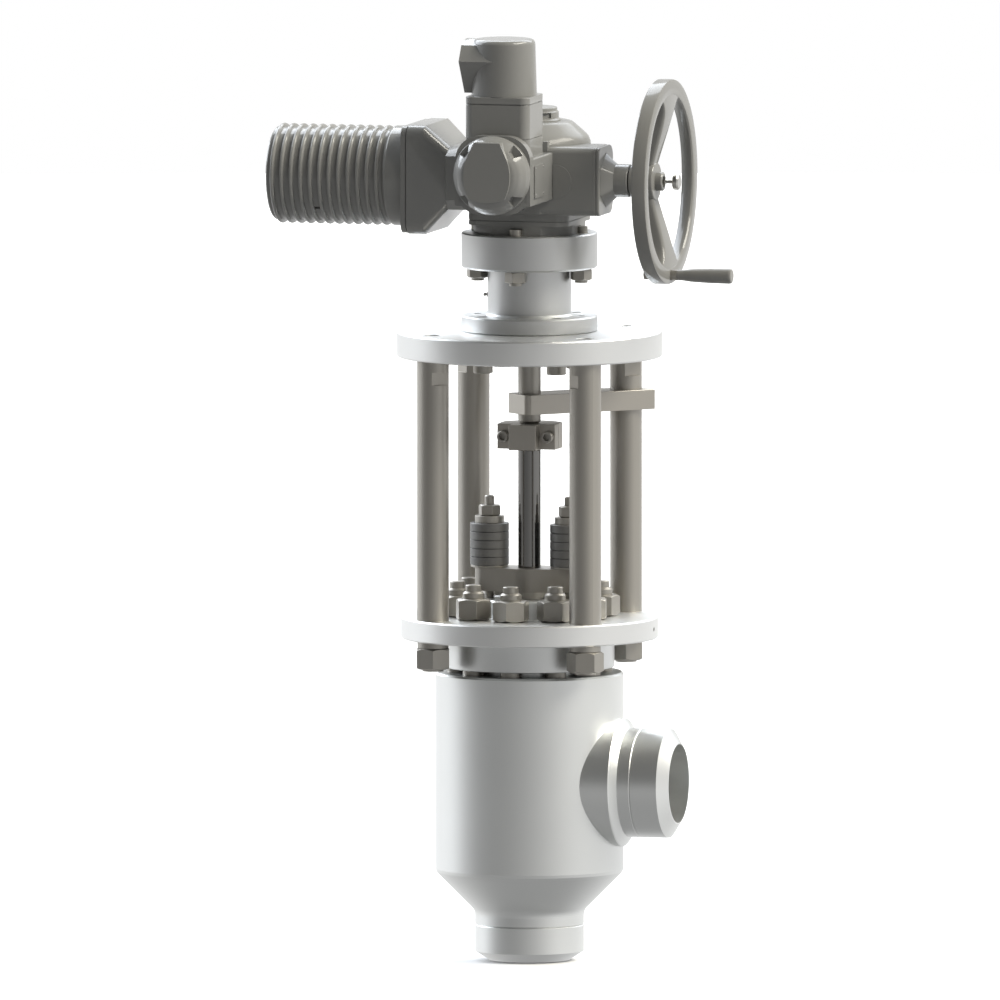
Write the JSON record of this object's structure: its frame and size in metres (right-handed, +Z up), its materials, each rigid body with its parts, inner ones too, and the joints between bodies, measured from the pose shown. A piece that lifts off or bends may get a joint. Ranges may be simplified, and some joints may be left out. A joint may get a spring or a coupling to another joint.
{
  "type": "control valve",
  "caption": "Angle control valve with butt-weld ends, four-column yoke, live-loaded gland and multi-turn electric actuator with handwheel.",
  "frame": {"origin": "centre of the root face of the bottom (inlet) weld end, on the stem axis", "axes": "+X along the side outlet, outwards; -Y towards the switch cover of the actuator; +Z up the stem axis"},
  "size_m": [0.7342, 0.4621, 1.436],
  "materials": {
    "body_paint": "satin light grey coat",
    "dark_steel": "phosphated warm grey steel",
    "polished_steel": "ground and polished",
    "bare_steel": "machined",
    "spring_steel": "dark tempered",
    "bronze": "machined",
    "actuator_paint": "glossy dark grey coat on castings",
    "wheel_paint": "glossy grey coat",
    "knob_metal": "satin grey",
    "grip_plastic": "smooth moulded",
    "seal": "graphite",
    "winding": "laminations and varnish",
    "insulator": "moulded",
    "plate_metal": "satin anodised"
  },
  "bodies": {
    "valve": {"inlet_weld_end": "body_paint", "valve_body": "body_paint", "outlet_weld_end": "body_paint", "bonnet": "body_paint", "lower_yoke_plate": "body_paint", "upper_yoke_plate": "body_paint", "drive_adapter": "body_paint", "bonnet_studs": "dark_steel", "bonnet_nuts": "dark_steel", "yoke_columns": "dark_steel", "column_nuts": "dark_steel", "gland_flange": "dark_steel", "gland_studs": "dark_steel", "gland_washers": "dark_steel", "gland_nuts": "dark_steel", "adapter_screws": "dark_steel", "adapter_studs": "dark_steel", "adapter_nuts": "dark_steel", "gland_follower": "polished_steel", "seat_ring": "bare_steel", "cage": "bare_steel", "thrust_bearings": "bare_steel", "shaft_bearings": "bare_steel", "worm_bearings": "bare_steel", "motor_bearings": "bare_steel", "disc_springs": "spring_steel", "grease_nipple": "bronze", "gear_housing": "actuator_paint", "top_plug": "actuator_paint", "arm_cover": "actuator_paint", "motor_flange": "actuator_paint", "motor_housing": "actuator_paint", "motor_end_cover": "actuator_paint", "switch_housing": "actuator_paint", "switch_cover": "actuator_paint", "terminal_box": "actuator_paint", "terminal_cap": "actuator_paint", "bonnet_gasket": "seal", "packing_rings": "seal", "motor_stator": "winding", "switch_unit": "insulator", "rating_plate": "plate_metal"},
    "handwheel_shaft": {"handwheel": "wheel_paint", "handwheel_hub": "wheel_paint", "crank_pin": "dark_steel", "worm_shaft": "polished_steel"},
    "grip": {"crank_grip": "grip_plastic"},
    "button": {"release_button": "knob_metal"},
    "output_drive": {"hollow_shaft": "polished_steel", "worm_wheel": "bronze", "stem_nut": "bronze"},
    "stem_line": {"plug": "polished_steel", "plug_seal": "seal", "valve_stem": "polished_steel", "coupling_front": "dark_steel", "coupling_rear": "dark_steel", "coupling_screws": "dark_steel", "spindle": "dark_steel", "guide_arm": "dark_steel"},
    "rotor": {"motor_rotor": "bare_steel"}
  },
  "joints": [
    {"name": "handwheel_spin", "type": "hinge", "parent": "valve", "child": "handwheel_shaft", "pos_m": [0.2, -0.044, 1.211], "axis": [1, 0, 0], "range_deg": [-24000, 12000]},
    {"name": "output_drive_spin", "type": "hinge", "parent": "valve", "child": "output_drive", "pos_m": [0, 0, 1.211], "axis": [0, 0, 1], "range_deg": [-3001, 1501]},
    {"name": "stem_lift", "type": "slide", "parent": "valve", "child": "stem_line", "axis": [0, 0, 1], "range_m": [-0.0501, 0.0251]},
    {"name": "grip_spin", "type": "hinge", "parent": "handwheel_shaft", "child": "grip", "pos_m": [0.26, -0.044, 1.067], "axis": [1, 0, 0], "continuous": true},
    {"name": "button_press", "type": "slide", "parent": "handwheel_shaft", "child": "button", "axis": [-1, 0, 0], "range_m": [0, 0.008], "stiffness_N_per_m": 400, "springref_m": -0.002},
    {"name": "rotor_spin", "type": "hinge", "parent": "valve", "child": "rotor", "pos_m": [-0.3, -0.044, 1.211], "axis": [1, 0, 0], "continuous": true}
  ],
  "couplings": [
    {"joint": "output_drive_spin", "follows": "handwheel_spin", "ratio": 0.125},
    {"joint": "stem_lift", "follows": "handwheel_spin", "m_per_rad": 0.00011937}
  ]
}
